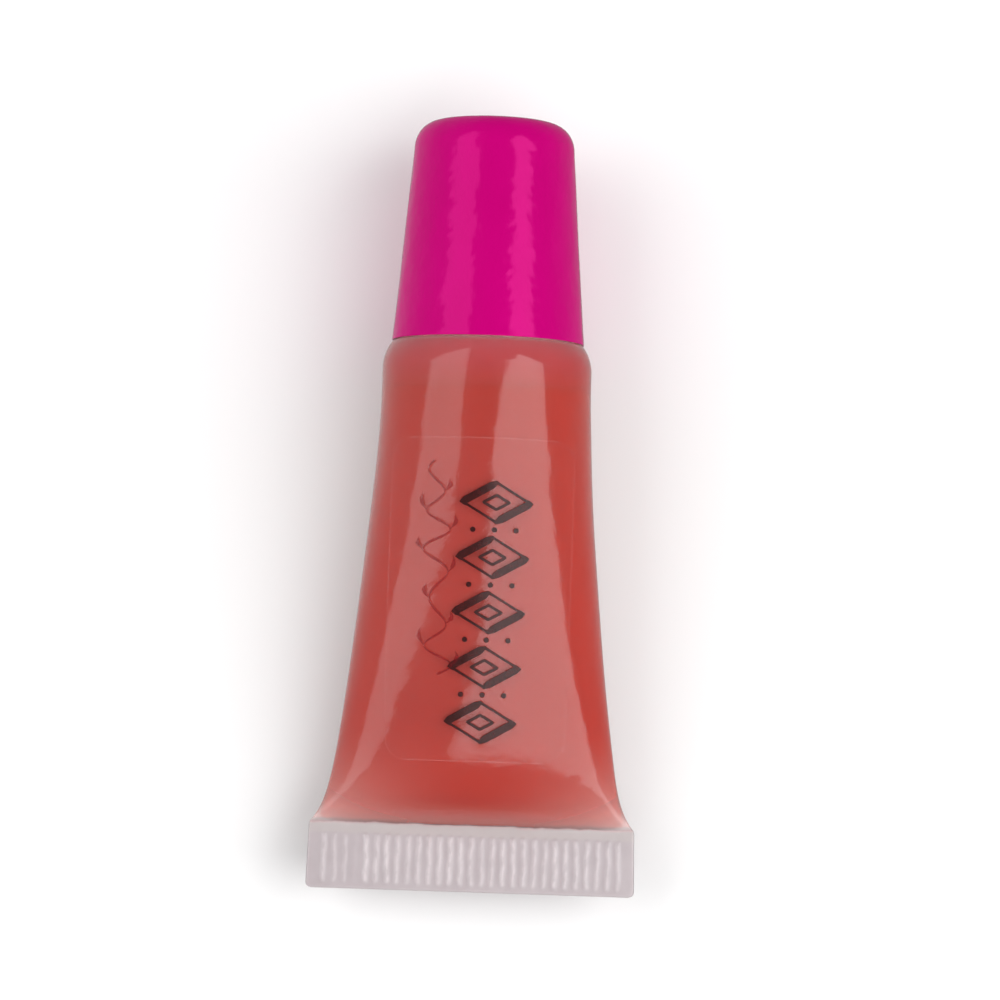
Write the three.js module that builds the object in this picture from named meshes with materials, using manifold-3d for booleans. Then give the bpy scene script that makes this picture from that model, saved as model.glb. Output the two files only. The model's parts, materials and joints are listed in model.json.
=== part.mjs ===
// Lip gloss squeeze tube: a crimped plastic sleeve on a threaded head, full of gloss, with a clear
// label and a screw cap. Millimetres. The tube is built standing on its tail (x across the tail,
// -y the front, z from the tail end towards the cap) and then laid on its back, cap towards +Y.
import * as THREE from 'three';
import { mergeVertices } from 'three/addons/utils/BufferGeometryUtils.js';
import Module from 'manifold-3d';

const wasm = await Module();
wasm.setup();

const AROUND = 40; // points round every section
const LEAN = THREE.MathUtils.degToRad(4.6); // the lying tube's axis rises this much towards the cap

// sleeve
const TUBE_R = 9.5;
const WALL = 0.45;
const ROUND_Z = 45; // the section is a circle from here up
const SHOULDER_Z = 47.2;
const SHOULDER_ARC_R = 5.5; // radius at which the shoulder's corner arc is centred
const SHOULDER_CORNER = 4;
const SHOULDER_END = THREE.MathUtils.degToRad(40.5);
const FLAT_X = 3.88; // extra half width at the seal from flattening, and how fast it comes
const FLAT_POWER = 1.42;
const FLARE_X = 1.25; // the last flare into the seal, and its length
const FLARE_LENGTH = 1.75;
const OPEN_LENGTH = 0.9; // how soon the walls part above the seal
const PINCH = 0.6; // how much sharper than an ellipse the section's tips are at the seal
const PINCH_LENGTH = 4;
const GLOSS_GAP = 0.1;
const SAG = 0.24; // how far the full belly is pressed flat by what it lies on

// crimped tail
const CRIMP_Z = 6;
const CRIMP_HALF = 0.45;
const BAND_TOP_X = 14.7;
const BAND_END_X = 14.86;
const BAND_CORNER = 0.5;
const RIBS = 29;
const RIB_PITCH = 0.95;
const RIB_HEIGHT = 0.14;
const RIB_FOOT_HALF = 0.34;
const RIB_TOP_HALF = 0.18;
const RIB_BOTTOM_Z = 0.7;
const RIB_TOP_Z = 5;

// head and its thread
const HEAD_R = 9;
const HEAD_BOTTOM_Z = 45.2;
const HEAD_ARC_END = Math.acos(0.8);
const NECK_R = 4.9;
const NECK_BORE_R = 3.9;
const NOZZLE_Z = 60.7;
const ORIFICE_R = 1.25;
const LEAD = 3;
const THREAD_Z = 51.4; // centre of the neck's ridge where it starts
const THREAD_CREST_R = 5.5;
const RIDGE_FOOT_HALF = 0.8;
const RIDGE_TOP_HALF = 0.4;
const RIDGE_ROOT = 0.15; // how deep a ridge starts inside its wall

// cap
const CAP_RIM_Z = 50;
const CAP_RIM_R = 8.72;
const CAP_TOP_Z = 70;
const CAP_CORNER = 3.6;
const CAP_TOP_FLAT_R = 3.7;
const CAP_WALL = 1;
const CAP_TAPER = 0.085; // lost radius per height, inside
const CORE_BORE_R = 5.75;
const CORE_CREST_R = 5.15;
const CORE_RIBS = 8;
const CORE_RIB_HALF = 0.4;

// label
const LABEL_HALF_X = 8.2;
const LABEL_Z = [11.8, 40.6];
const LABEL_CORNER = 1.8;
const LABEL_GAP = 0.06;
const LABEL_THICK = 0.09;

// ---- building blocks ----

// A solid from rings of equally many points, which run anticlockwise seen from the end that the
// rings climb to. Both ends are closed flat, or the last ring joins the first.
function loft(rings, joined = false) {
  const n = rings[0].length;
  const positions = rings.flat().flatMap((p) => [p.x, p.y, p.z]);
  const index = [];
  const quad = (a, b, c, d) => index.push(a, b, c, a, c, d);
  for (let r = 0; r < (joined ? rings.length : rings.length - 1); r++) {
    const low = r * n;
    const high = ((r + 1) % rings.length) * n;
    for (let i = 0; i < n; i++) {
      const j = (i + 1) % n;
      quad(low + i, low + j, high + j, high + i);
    }
  }
  const last = (rings.length - 1) * n;
  for (let i = 0; i < (joined ? 0 : n / 2 - 1); i++) {
    quad(n - 1 - i, n - 2 - i, i + 1, i);
    quad(last + i, last + i + 1, last + n - 2 - i, last + n - 1 - i);
  }
  const geometry = new THREE.BufferGeometry();
  geometry.setAttribute('position', new THREE.Float32BufferAttribute(positions, 3));
  geometry.setIndex(index);
  return geometry;
}

function circle(r, z) {
  return Array.from({ length: AROUND }, (_, i) => {
    const t = (i / AROUND) * 2 * Math.PI;
    return new THREE.Vector3(r * Math.cos(t), r * Math.sin(t), z);
  });
}

function turned(profile, joined = false) {
  return loft(profile.map(([r, z]) => circle(r, z)), joined);
}

// Points [r, z] on an arc about [r0, z0], from one angle to another.
function arc(r0, z0, radius, from, to, steps) {
  return Array.from({ length: steps + 1 }, (_, i) => {
    const t = from + ((to - from) * i) / steps;
    return [r0 + radius * Math.cos(t), z0 + radius * Math.sin(t)];
  });
}

function solid(geometry) {
  geometry.deleteAttribute('normal');
  geometry.deleteAttribute('uv');
  const merged = mergeVertices(geometry, 1e-5);
  return new wasm.Manifold(new wasm.Mesh({
    numProp: 3,
    vertProperties: merged.attributes.position.array,
    triVerts: new Uint32Array(merged.index.array),
  }));
}

function united(geometries) {
  const mesh = geometries.map(solid).reduce((all, next) => all.add(next)).getMesh();
  const geometry = new THREE.BufferGeometry();
  geometry.setAttribute('position', new THREE.BufferAttribute(mesh.vertProperties, 3));
  geometry.setIndex(new THREE.BufferAttribute(mesh.triVerts, 1));
  return geometry;
}

// A right-hand ridge of trapezoid section on a helix, between two counts of turns from x = 0.
function threadRidge(rootR, crestR, startZ, fromTurn, toTurn) {
  const steps = Math.round((toTurn - fromTurn) * 28);
  const rings = [];
  for (let i = 0; i <= steps; i++) {
    const turn = fromTurn + ((toTurn - fromTurn) * i) / steps;
    const fade = Math.min(1, 0.25 + Math.min(i, steps - i) / 3);
    const crest = rootR + (crestR - rootR) * fade;
    const z = startZ + LEAD * turn;
    const t = 2 * Math.PI * turn;
    const at = (r, up) => new THREE.Vector3(r * Math.cos(t), r * Math.sin(t), z + up * fade);
    const ring = [
      at(rootR, -RIDGE_FOOT_HALF), at(crest, -RIDGE_TOP_HALF),
      at(crest, RIDGE_TOP_HALF), at(rootR, RIDGE_FOOT_HALF),
    ];
    rings.push(crestR > rootR ? ring.reverse() : ring);
  }
  return loft(rings);
}

// ---- shape of the sleeve ----

// Half the sleeve's width across the tail: round at the head, spread flat towards the seal.
function halfWidth(z) {
  const toTail = Math.max(0, ROUND_Z - z) / (ROUND_Z - CRIMP_Z);
  const flare = z < ROUND_Z ? FLARE_X * Math.exp((CRIMP_Z - z) / FLARE_LENGTH) : 0;
  return TUBE_R + FLAT_X * toTail ** FLAT_POWER + flare;
}

// Ramanujan's perimeter of an ellipse with half axes a and b.
function girth(a, b) {
  const h = ((a - b) / (a + b)) ** 2;
  return Math.PI * (a + b) * (1 + (3 * h) / (10 + Math.sqrt(4 - 3 * h)));
}

// Half the sleeve's depth: what the unstretched girth leaves, drawn together at the seal.
function halfDepth(z) {
  let low = 0;
  let high = TUBE_R;
  for (let i = 0; i < 40; i++) {
    const middle = (low + high) / 2;
    if (girth(halfWidth(z), middle) < 2 * Math.PI * TUBE_R) low = middle;
    else high = middle;
  }
  const open = z < ROUND_Z ? 1 - Math.exp((CRIMP_Z - z) / OPEN_LENGTH) : 1;
  return CRIMP_HALF + (high - CRIMP_HALF) * open;
}

// How deep below the axis the table under the belly is, measured square to the table.
function tableDepth() {
  let deepest = 0;
  for (let z = CRIMP_Z; z <= ROUND_Z; z += 0.25) {
    const depth = halfDepth(z) * Math.cos(LEAN) - z * Math.sin(LEAN);
    deepest = Math.max(deepest, depth);
  }
  return deepest - SAG;
}
const TABLE = tableDepth();

// Half width of an ellipse's inward offset, where the two sides may meet before the tip.
function offsetHalfWidth(a, b, inset) {
  if (inset <= (b * b) / a) return a - inset;
  return Math.sqrt((a * a - b * b) * (1 - (inset / b) ** 2));
}

// One point of the sleeve's section at height z, t round from +x, inset from the outer surface.
function sleevePoint(z, t, inset) {
  const a = offsetHalfWidth(halfWidth(z), halfDepth(z), inset);
  const b = halfDepth(z) - inset;
  const pinch = PINCH * Math.exp((CRIMP_Z - z) / PINCH_LENGTH);
  const y = b * Math.sin(t) * Math.abs(Math.sin(t)) ** pinch;
  const table = (TABLE + z * Math.sin(LEAN)) / Math.cos(LEAN) - inset;
  return new THREE.Vector3(a * Math.cos(t), Math.min(y, table), z);
}

// How far round from the middle of the back the section lies pressed flat, or 0.
function flatHalfAngle(z, inset) {
  const curvesAway = (angle) => (
    sleevePoint(z, Math.PI / 2 + angle, inset).y
      > sleevePoint(z, Math.PI / 2 + angle + 1e-6, inset).y
  );
  if (curvesAway(0.001)) return 0;
  let low = 0;
  let high = 0.4;
  for (let i = 0; i < 30; i++) {
    const middle = (low + high) / 2;
    if (curvesAway(middle)) high = middle;
    else low = middle;
  }
  return high;
}

// A ring of the sleeve, whose points beside the middle of the back lie on the pressed flat's rim.
function sleeveRing(z, inset) {
  const step = (2 * Math.PI) / AROUND;
  const flat = flatHalfAngle(z, inset);
  const beside = flat > 0.4 * step && flat < 1.6 * step ? flat : step;
  return Array.from({ length: AROUND }, (_, i) => {
    const fromBack = i - AROUND / 4;
    const angle = Math.abs(fromBack) === 1 ? beside * fromBack : step * fromBack;
    return sleevePoint(z, Math.PI / 2 + angle, inset);
  });
}

// Heights from one to the top of the flattened part, closer together near the seal.
function sleeveHeights(from, steps) {
  return Array.from({ length: steps + 1 }, (_, i) => (
    from + (ROUND_Z - from) * (i / steps) ** 1.6
  ));
}
const OUTER_HEIGHTS = sleeveHeights(CRIMP_Z, 20);
const INNER_HEIGHTS = sleeveHeights(CRIMP_Z + 0.5, 16);

// ---- pieces ----

function crimpBand() {
  const outline = new THREE.Shape();
  outline.moveTo(-BAND_TOP_X, CRIMP_Z);
  outline.lineTo(-BAND_END_X, BAND_CORNER);
  outline.quadraticCurveTo(-BAND_END_X, 0, -BAND_END_X + BAND_CORNER, 0);
  outline.lineTo(BAND_END_X - BAND_CORNER, 0);
  outline.quadraticCurveTo(BAND_END_X, 0, BAND_END_X, BAND_CORNER);
  outline.lineTo(BAND_TOP_X, CRIMP_Z);
  outline.closePath();
  const band = new THREE.ExtrudeGeometry(outline, {
    depth: 2 * CRIMP_HALF, bevelEnabled: false, curveSegments: 3,
  });
  return band.rotateX(Math.PI / 2).translate(0, CRIMP_HALF, 0);
}

// The pressed ribs of both faces, as one comb-edged bar that starts just inside the band.
function crimpRibs() {
  const edge = [];
  const foot = CRIMP_HALF - 0.06;
  const top = CRIMP_HALF + RIB_HEIGHT;
  for (let i = 0; i < RIBS; i++) {
    const x = (i - (RIBS - 1) / 2) * RIB_PITCH;
    edge.push([x - RIB_FOOT_HALF, foot], [x - RIB_TOP_HALF, top]);
    edge.push([x + RIB_TOP_HALF, top], [x + RIB_FOOT_HALF, foot]);
  }
  const outline = new THREE.Shape();
  for (const [x, y] of edge) outline.lineTo(x, y);
  for (const [x, y] of edge.reverse()) outline.lineTo(x, -y);
  outline.closePath();
  const ribs = new THREE.ExtrudeGeometry(outline, {
    depth: RIB_TOP_Z - RIB_BOTTOM_Z, bevelEnabled: false,
  });
  return ribs.translate(0, 0, RIB_BOTTOM_Z);
}

function tubeSleeve() {
  const shoulder = (radius, from, to) => (
    arc(SHOULDER_ARC_R, SHOULDER_Z, radius, from, to, 6).map(([r, z]) => circle(r, z))
  );
  // the shell starts inside the band, slightly slimmer than it
  const seal = sleeveRing(CRIMP_Z, 0.02).map((p) => p.setZ(CRIMP_Z - 0.6));
  const shell = loft([
    seal,
    ...OUTER_HEIGHTS.map((z) => sleeveRing(z, 0)),
    ...shoulder(SHOULDER_CORNER, 0, SHOULDER_END),
    ...shoulder(SHOULDER_CORNER - WALL, SHOULDER_END, 0),
    ...INNER_HEIGHTS.toReversed().map((z) => sleeveRing(z, WALL)),
  ]);
  return united([shell, crimpBand(), crimpRibs()]);
}

function tubeHead() {
  const corner = arc(SHOULDER_ARC_R, SHOULDER_Z, HEAD_R - SHOULDER_ARC_R, 0, HEAD_ARC_END, 5);
  const body = turned([
    [HEAD_R, HEAD_BOTTOM_Z], ...corner,
    [8.1, 49.45], [8.1, 49.8], [8, 49.9], // the raised disc inside the sleeve's lip
    [5.6, 49.9], [5.1, 50.15], [NECK_R, 50.7], // fillet at the foot of the neck
    [NECK_R, 58.2], [4.5, 58.6], [4.2, 58.6],
    [2.7, NOZZLE_Z - 0.25], [2.45, NOZZLE_Z], // nozzle
    [ORIFICE_R, NOZZLE_Z], [ORIFICE_R, 59.6],
    [3.2, 58], [NECK_BORE_R, 57.4], [NECK_BORE_R, 48.6], [4.3, 48.2],
    [7.4, 48.2], [8.2, 47.4], [8.2, HEAD_BOTTOM_Z],
  ], true);
  const ridge = threadRidge(NECK_R - RIDGE_ROOT, THREAD_CREST_R, THREAD_Z, 0, 2.05);
  return united([body, ridge]);
}

function glossFill() {
  return loft([
    ...INNER_HEIGHTS.slice(1).map((z) => sleeveRing(z, WALL + GLOSS_GAP)),
    circle(8.1, ROUND_Z), circle(8.1, 47.3), circle(7.3, 48.1), circle(3.8, 48.1),
    circle(3.8, 57.2),
  ]);
}

// A thin skin standing a little off the front of the sleeve, with rounded corners.
function labelFilm() {
  const [bottom, top] = LABEL_Z;
  const columns = 18;
  const heights = [bottom, bottom + 0.2, bottom + 0.6, bottom + LABEL_CORNER];
  for (let i = 1; i < 10; i++) {
    heights.push(THREE.MathUtils.lerp(bottom + LABEL_CORNER, top - LABEL_CORNER, i / 10));
  }
  heights.push(top - LABEL_CORNER, top - 0.6, top - 0.2, top);
  return loft(heights.map((z) => {
    const nearEnd = Math.max(0, LABEL_CORNER - (z - bottom), LABEL_CORNER - (top - z));
    const cut = LABEL_CORNER - Math.sqrt(LABEL_CORNER ** 2 - nearEnd ** 2);
    const half = Math.asin((LABEL_HALF_X - cut) / halfWidth(z));
    const row = (inset) => Array.from({ length: columns + 1 }, (_, i) => (
      sleevePoint(z, -Math.PI / 2 - half + (2 * half * i) / columns, inset)
    ));
    return [...row(-LABEL_GAP - LABEL_THICK), ...row(-LABEL_GAP).reverse()];
  }));
}

// Inside radius of the cap's shell at height z, a cone like the outside.
function shellInside(z) {
  return CAP_RIM_R - CAP_WALL - (z - CAP_RIM_Z) * CAP_TAPER;
}

function capShell() {
  const cornerZ = CAP_TOP_Z - CAP_CORNER;
  return turned([
    [5.2, 68.8], [5.9, 68.3], [shellInside(66), 66],
    [shellInside(50.2), 50.2], [shellInside(50) + 0.12, CAP_RIM_Z],
    [CAP_RIM_R - 0.12, CAP_RIM_Z], [CAP_RIM_R, CAP_RIM_Z + 0.15],
    ...arc(CAP_TOP_FLAT_R, cornerZ, CAP_CORNER, 0, Math.PI / 2, 9),
  ]);
}

function coreRib(angle) {
  const ring = (inner, outer, z) => [
    new THREE.Vector3(inner, -CORE_RIB_HALF, z), new THREE.Vector3(outer, -CORE_RIB_HALF, z),
    new THREE.Vector3(outer, CORE_RIB_HALF, z), new THREE.Vector3(inner, CORE_RIB_HALF, z),
  ];
  const foot = ring(6.2, shellInside(51.2) - 0.16, 51.2);
  const tip = ring(6.1, shellInside(61.8) - 0.12, 61.8);
  return loft([foot, tip]).rotateZ(angle);
}

// The threaded closure inside the cap: flange, skirt with eight ribs, and the disc over it.
function capCore() {
  const body = turned([
    [CORE_BORE_R, 61.6], [CORE_BORE_R, 50.35],
    [7.55, 50.35], [7.55, 51.35], [6.8, 51.35], [6.35, 62.4], [6.15, 62.6],
  ]);
  const ridgeZ = THREAD_Z - LEAD / 2; // midway between the turns of the neck's ridge
  const ridge = threadRidge(CORE_BORE_R + RIDGE_ROOT, CORE_CREST_R, ridgeZ, 0.8, 2.5);
  const ribs = Array.from({ length: CORE_RIBS }, (_, i) => (
    coreRib(((i + 0.5) / CORE_RIBS) * 2 * Math.PI)
  ));
  return united([body, ridge, ...ribs]);
}

function capLiner() {
  return turned([[5.5, 60.78], [5.5, 61.5]]);
}

// ---- assembly ----

function piece(name, geometry, material) {
  const flat = geometry.toNonIndexed();
  flat.computeVertexNormals();
  const mesh = new THREE.Mesh(flat, new THREE.MeshStandardMaterial(material));
  mesh.name = name;
  return mesh;
}

const clearPlastic = { roughness: 0.2, metalness: 0, transparent: true };
const group = new THREE.Group();
group.name = 'lip_gloss_tube';
group.add(
  piece('tube_sleeve', tubeSleeve(), { ...clearPlastic, color: 0xd9c4c6, opacity: 0.45 }),
  piece('tube_head', tubeHead(), { color: 0xe6dcdc, roughness: 0.35, metalness: 0 }),
  piece('gloss_fill', glossFill(), { color: 0xbc4a40, roughness: 0.15, metalness: 0 }),
  piece('label_film', labelFilm(), { ...clearPlastic, color: 0xe8dfe0, opacity: 0.25 }),
  piece('cap_shell', capShell(), { color: 0xcc007a, roughness: 0.18, metalness: 0 }),
  piece('cap_core', capCore(), { color: 0xc8107c, roughness: 0.3, metalness: 0 }),
  piece('cap_liner', capLiner(), { color: 0xf2f0ee, roughness: 0.7, metalness: 0 }),
);

// Lay the tube on its back and put the middle of its footprint at the origin.
group.rotation.x = LEAN - Math.PI / 2;
group.updateMatrixWorld(true);
const box = new THREE.Box3().setFromObject(group, true);
const middle = box.getCenter(new THREE.Vector3());
group.position.set(-middle.x, -middle.y, -box.min.z);
group.updateMatrixWorld(true);

export default group;
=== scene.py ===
import json

import bmesh
import bpy
import numpy as np
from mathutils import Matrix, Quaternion, Vector


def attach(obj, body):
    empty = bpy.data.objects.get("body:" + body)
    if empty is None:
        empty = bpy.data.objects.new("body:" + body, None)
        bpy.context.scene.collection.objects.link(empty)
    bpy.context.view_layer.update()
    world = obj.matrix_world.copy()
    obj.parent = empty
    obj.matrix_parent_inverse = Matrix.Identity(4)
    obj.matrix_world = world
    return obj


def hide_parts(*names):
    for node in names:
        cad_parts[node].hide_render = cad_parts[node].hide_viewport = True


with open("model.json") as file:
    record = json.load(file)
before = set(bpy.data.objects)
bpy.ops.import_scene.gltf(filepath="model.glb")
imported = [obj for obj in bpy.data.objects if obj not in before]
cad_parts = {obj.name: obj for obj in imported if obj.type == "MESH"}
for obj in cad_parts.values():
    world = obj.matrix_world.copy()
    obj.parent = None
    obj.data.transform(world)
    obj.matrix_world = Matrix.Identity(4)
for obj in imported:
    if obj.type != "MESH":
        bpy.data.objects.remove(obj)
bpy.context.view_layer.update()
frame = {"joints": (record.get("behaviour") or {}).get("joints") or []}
rng = np.random.default_rng(11)

MM = 0.001
TURN = 2 * np.pi

# ---- where the standing tube lies in the frame ----

CAP_JOINT = next(j for j in frame["joints"] if j["name"] == "cap_turn")
PIVOT_Z = 60  # height of the cap joint's point on the standing tube
ACROSS = np.array([1.0, 0.0, 0.0])
ALONG = np.array(CAP_JOINT["axis"], float)
BACK = np.cross(ALONG, ACROSS)
FOOT = np.array(CAP_JOINT["pos_m"], float) - ALONG * PIVOT_Z * MM

# ---- sizes of the standing tube ----

TUBE_R = 9.495
WALL = 0.45
WETTED = 0.05  # how far the gloss reaches into the wall, so that no gap shows
RIPPLE = 0.017  # height of the soft wall's waves
ROUND_Z = 45  # the section is a circle from here up
SHOULDER_Z = 47.2
SHOULDER_ARC_R = 5.5  # how far out the shoulder's arc is centred
SHOULDER_CORNER = 3.995
SHOULDER_END = np.radians(40.5)
FLAT_X = 3.88  # how much wider the tube has grown at the seal
FLAT_POWER = 1.42
FLARE_X = 1.25  # the last flare out to the sealed band, besides
FLARE_LENGTH = 1.75
OPEN_LENGTH = 0.9  # within which the walls part above the seal
PINCH = 0.6  # how much sharper than an ellipse the section's tips are at the seal
PINCH_LENGTH = 4

CRIMP_Z = 6  # top of the sealed band
CRIMP_HALF = 0.45
BAND_TOP_X = 14.7
BAND_END_X = 14.86
BAND_CORNER = 0.5  # of the tail's cut end
RIBS = 29
RIB_PITCH = 0.95
RIB_HEIGHT = 0.12
RIB_Z = (0.5, 5.0)

GLOSS_TOP_Z = 57.2
HEAD_R = 9
WELD = 0.1  # how far the head's skirt is melted into the sleeve's wall
HEAD_BOTTOM_Z = 45.2
HEAD_INSIDE_R = 8.2
NECK_R = 4.9
NECK_BORE_R = 3.9
NOZZLE_Z = 60.7
ORIFICE_R = 1.25
LEAD = 3
THREAD_Z = 51.4
THREAD_CREST_R = 5.5
THREAD_FOOT = 0.8  # half the ridge's height where it stands
THREAD_TOP = 0.4  # and at its crest

CAP_RIM_Z = 49.9
CAP_RIM_R = 8.72
CAP_LIP_R = 8.45  # inside of the lip that reaches down to the shoulder
CAP_WALL = 1
CAP_INSIDE_TAPER = 0.085
CAP_ROOF_Z = 68.8
CAP_WAVE = 0.012  # height of the moulded outside's sink and ripple
CAP_TOP_Z = 69.9
CAP_CORNER = 2.8
CAP_TOP_FLAT_R = 4.5
CORE_BOTTOM_Z = 50.35
CORE_FLANGE_R = 7.55
CORE_BORE_R = 5.75
CORE_CREST_R = 5.15
CORE_ROOF_Z = 61.6
CORE_TOP_Z = 62.6
CORE_RIBS = 8
LINER_R = 5.5
LINER_Z = (60.78, 61.5)

LABEL_HALF_X = 8.2
LABEL_Z = (11.8, 40.6)
LABEL_CORNER = 1.8
LABEL_TOP = 0.15  # the film's face above the sleeve
LABEL_ROOT = 0.03  # its underside below the sleeve's face, so that no gap shows

INK = 0.018  # thickness of the printed lines
INK_LIFT = 0.005
PRINT_Z = (12.9, 37.3)
LOZENGES = 5
LOZENGE_HALF = (3.0, 1.75)
INNER_HALF = (1.15, 0.64)
THICK_LINE = 0.68
THIN_LINE = 0.22
INNER_LINE = 0.26
DOT_R = 0.24
FLOURISH_Z = (19.5, 38.5)
FLOURISH_WAVE = 3.9

SLEEVE_POINTS = 564
ROUND_POINTS = 256

# ---- light and camera, in metres in the frame ----

FLOOR_HALF = 0.6
PANEL_Z = 0.5
LEFT_PANEL = [(-0.23, -0.09), (-0.19, 0.14), (-0.2, 0.42), (-1.9, -0.18), (-1.9, -0.7)]
RIGHT_PANEL = [(-0.11, -0.305), (2.0, -0.42), (2.0, -0.27), (0.36, 0.33), (0.26, 0.14)]
CAMERA_FAR = 0.4
CAMERA_UP_DEG = 82.5
CAMERA_ROLL_DEG = 1.93
FRAME_WIDTH = 90.7 * MM  # what the picture spans at the tube
AIM_Z = 35.4  # where the camera looks, on the standing tube
AIM_SHIFT = (1.57 * MM, 0.09 * MM)


# ---- building meshes ----

def laid(points):
    """Standing millimetres to metres in the frame."""
    p = np.asarray(points, float)
    return FOOT + MM * (p[..., :1] * ACROSS + p[..., 1:2] * BACK + p[..., 2:] * ALONG)


def around(count=SLEEVE_POINTS):
    """Angles once round a ring."""
    return np.arange(count) / count * TURN


def skin(rows, ring=True, joined=False):
    """(points, faces) of a grid of rows, each a closed ring or not, and, if joined, last to first."""
    rows = np.asarray(rows, float)
    n_rows, n = rows.shape[:2]
    i, j = np.meshgrid(
        np.arange(n_rows if joined else n_rows - 1),
        np.arange(n if ring else n - 1), indexing="ij",
    )
    up, side = (i + 1) % n_rows, (j + 1) % n
    faces = np.stack([i * n + j, i * n + side, up * n + side, up * n + j], -1)
    return rows.reshape(-1, 3), faces.reshape(-1, 4)


def add_mesh(name, skins, layers=None, sharp_deg=50):
    """One smooth mesh object from several skins. Layers are named values, one per point."""
    points, faces, start = [], [], 0
    for p, f in skins:
        points.append(p)
        faces.append(f + start)
        start += len(p)
    points, faces = np.vstack(points), np.vstack(faces)
    mesh = bpy.data.meshes.new(name)
    mesh.vertices.add(len(points))
    mesh.vertices.foreach_set("co", laid(points).astype(np.float32).ravel())
    mesh.loops.add(faces.size)
    mesh.loops.foreach_set("vertex_index", faces.astype(np.int32).ravel())
    mesh.polygons.add(len(faces))
    mesh.polygons.foreach_set("loop_start", np.arange(0, faces.size, 4, dtype=np.int32))
    mesh.update(calc_edges=True)
    stand = mesh.attributes.new("stand", "FLOAT_VECTOR", "POINT")
    stand.data.foreach_set("vector", points.astype(np.float32).ravel())
    for layer, values in (layers or {}).items():
        attribute = mesh.attributes.new(layer, "FLOAT", "POINT")
        attribute.data.foreach_set("value", np.asarray(values, np.float32).ravel())
    weld(mesh)
    mesh.shade_smooth()
    mesh.set_sharp_from_angle(angle=np.radians(sharp_deg))
    made = bpy.data.objects.new(name, mesh)
    bpy.context.scene.collection.objects.link(made)
    return made


def weld(mesh):
    """Joins points that coincide, such as those of a ring shrunk to its middle."""
    bm = bmesh.new()
    bm.from_mesh(mesh)
    bmesh.ops.remove_doubles(bm, verts=bm.verts, dist=2e-7)
    bmesh.ops.recalc_face_normals(bm, faces=bm.faces)
    bm.to_mesh(mesh)
    bm.free()


def towards(way, distance):
    """A step of that distance along a way, but never quite half of it."""
    length = np.linalg.norm(way)
    return way / length * min(distance, length * 0.48)


def rounded(corners, steps=6):
    """A closed profile from (r, z, radius) corners, each corner cut by a smooth arc."""
    corners = [np.array(c, float) for c in corners]
    out = []
    for before, here, after in zip(corners[-1:] + corners[:-1], corners, corners[1:] + corners[:1]):
        point, radius = here[:2], here[2]
        if radius <= 0:
            out.append(point)
            continue
        start, end = (point + towards(other[:2] - point, radius) for other in (before, after))
        for s in np.linspace(0, 1, steps + 1):
            out.append((1 - s) ** 2 * start + 2 * s * (1 - s) * point + s * s * end)
    return np.array(out)


def spread(profile, longest):
    """The same closed profile with points no further apart than longest."""
    out = []
    for a, b in zip(profile, np.roll(profile, -1, axis=0)):
        steps = max(1, int(np.ceil(np.linalg.norm(b - a) / longest)))
        out += [a + (b - a) * k / steps for k in range(steps)]
    return np.array(out)


def turned(profile, points=ROUND_POINTS, wave=None):
    """A skin turned about the tube's axis from a closed (r, z) profile."""
    t = around(points)
    r, z = (np.repeat(profile[:, k:k + 1], points, 1) for k in (0, 1))
    if wave is not None:
        r = r + wave(z, t[None, :], r)
    return skin(np.stack([r * np.cos(t), r * np.sin(t), z], -1), joined=True)


def thread_ridge(root_r, crest_r, start_z, from_turn, to_turn):
    """A right-hand ridge of rounded section on a helix, fading out at both ends."""
    foot, top = THREAD_FOOT, THREAD_TOP
    steps = round((to_turn - from_turn) * 110)
    k = np.arange(steps + 1)
    turn = from_turn + (to_turn - from_turn) * k / steps
    fade = np.clip(0.05 + np.minimum(k, steps - k) / 11, 0, 1)[:, None]
    section = np.array([
        (0, -foot), (0.35, -foot + 0.14), (0.8, -top - 0.08), (0.97, -top + 0.06), (1, -top + 0.2),
        (1, top - 0.2), (0.97, top - 0.06), (0.8, top + 0.08), (0.35, foot - 0.14), (0, foot),
    ])
    r = root_r + (crest_r - root_r) * section[:, 0] * fade
    z = start_z + LEAD * turn[:, None] + section[:, 1] * fade
    t = TURN * turn[:, None]
    rows = np.stack([r * np.cos(t), r * np.sin(t), z], -1)
    shut = rows.mean(1, keepdims=True).repeat(rows.shape[1], 1)
    return skin(np.concatenate([shut[:1], rows, shut[-1:]]))


# ---- shape of the sleeve ----

def half_width(z):
    """The sleeve widens towards the tail as it flattens, and flares at the seal."""
    to_tail = np.maximum(0, ROUND_Z - z) / (ROUND_Z - CRIMP_Z)
    flare = np.where(z < ROUND_Z, FLARE_X * np.exp((CRIMP_Z - z) / FLARE_LENGTH), 0)
    return TUBE_R + FLAT_X * to_tail ** FLAT_POWER + flare


def girth(a, b):
    """Length round an ellipse of those half axes."""
    h = ((a - b) / (a + b)) ** 2
    return np.pi * (a + b) * (1 + 3 * h / (10 + np.sqrt(4 - 3 * h)))


def half_depth(z):
    """What the unstretched girth leaves in depth, drawn together at the seal."""
    low, high = np.zeros_like(z), np.full_like(z, TUBE_R)
    for _ in range(40):
        middle = (low + high) / 2
        short = girth(half_width(z), middle) < TURN * TUBE_R
        low, high = np.where(short, middle, low), np.where(short, high, middle)
    opened = np.where(z < ROUND_Z, 1 - np.exp((CRIMP_Z - z) / OPEN_LENGTH), 1)
    return CRIMP_HALF + (high - CRIMP_HALF) * opened


def offset_half_width(a, b, inset):
    """Half width of the section's inward offset, whose sides may meet before the tip."""
    inner = np.sqrt(np.maximum(0, a * a - b * b) * np.maximum(0, 1 - (inset / b) ** 2))
    return np.where(inset <= b * b / a, a - inset, inner)


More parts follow.
